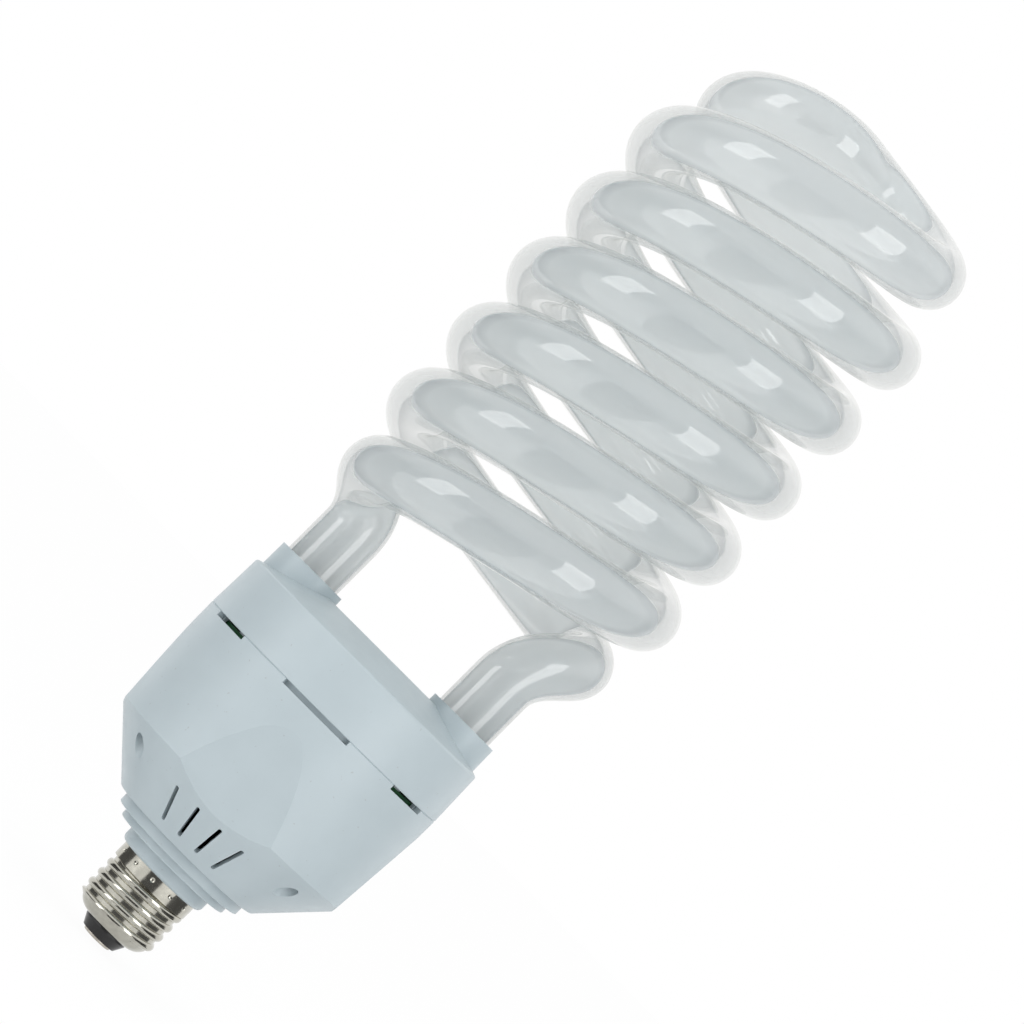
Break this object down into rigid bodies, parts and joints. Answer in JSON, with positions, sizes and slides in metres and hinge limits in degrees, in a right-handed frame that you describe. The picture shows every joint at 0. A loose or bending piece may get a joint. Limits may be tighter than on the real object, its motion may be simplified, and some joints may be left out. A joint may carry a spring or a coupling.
{
  "type": "compact fluorescent bulb",
  "caption": "Compact fluorescent bulb: double spiral opal tube with a crossed crown on a tapered ballast housing with vents and a screw cap.",
  "frame": {"origin": "middle of the centre contact's flat face, at the lowest end of the cap", "axes": "+Z along the lamp's axis, from the cap to the top of the spiral; -Y is the front with its vents; X runs through the tube's two legs"},
  "size_m": [0.1084, 0.1048, 0.3114],
  "materials": {
    "tube_glass": "opal, glossy",
    "housing_plastic": "satin moulded",
    "cap_nickel": "nickel plated, rolled",
    "cap_glass": "glossy black",
    "contact_metal": "tinned",
    "cement": "matte",
    "screw_steel": "zinc plated",
    "board_laminate": "solder resist",
    "capacitor_sleeve": "shrunk sleeve",
    "ferrite": "ground",
    "bobbin_plastic": "moulded",
    "enamelled_copper": "enamelled wire",
    "transistor_epoxy": "moulded",
    "film_lacquer": "dipped",
    "diode_epoxy": "moulded",
    "resistor_lacquer": "lacquered",
    "disc_ceramic": "dipped",
    "fuse_ceramic": "glazed tube",
    "tinned_wire": "tinned",
    "wire_sleeve": "insulation"
  },
  "bodies": {
    "root": {"discharge_tube": "tube_glass", "tube_holder": "housing_plastic", "ballast_housing": "housing_plastic", "screw_shell": "cap_nickel", "cap_insulator": "cap_glass", "centre_contact": "contact_metal", "tube_cement": "cement", "housing_screws": "screw_steel", "circuit_board": "board_laminate", "bulk_capacitor": "capacitor_sleeve", "inductor_core_left": "ferrite", "inductor_core_right": "ferrite", "driver_core": "ferrite", "choke_core": "ferrite", "inductor_bobbin": "bobbin_plastic", "inductor_winding": "enamelled_copper", "driver_windings": "enamelled_copper", "choke_winding": "enamelled_copper", "transistor_left": "transistor_epoxy", "transistor_right": "transistor_epoxy", "resonant_capacitor": "film_lacquer", "blocking_capacitor": "film_lacquer", "rectifier_diodes": "diode_epoxy", "resistors": "resistor_lacquer", "ceramic_capacitors": "disc_ceramic", "thermistor": "disc_ceramic", "fuse": "fuse_ceramic", "wire_pins": "tinned_wire", "tube_leads": "tinned_wire", "live_wire": "wire_sleeve", "neutral_wire": "wire_sleeve"}
  },
  "joints": []
}
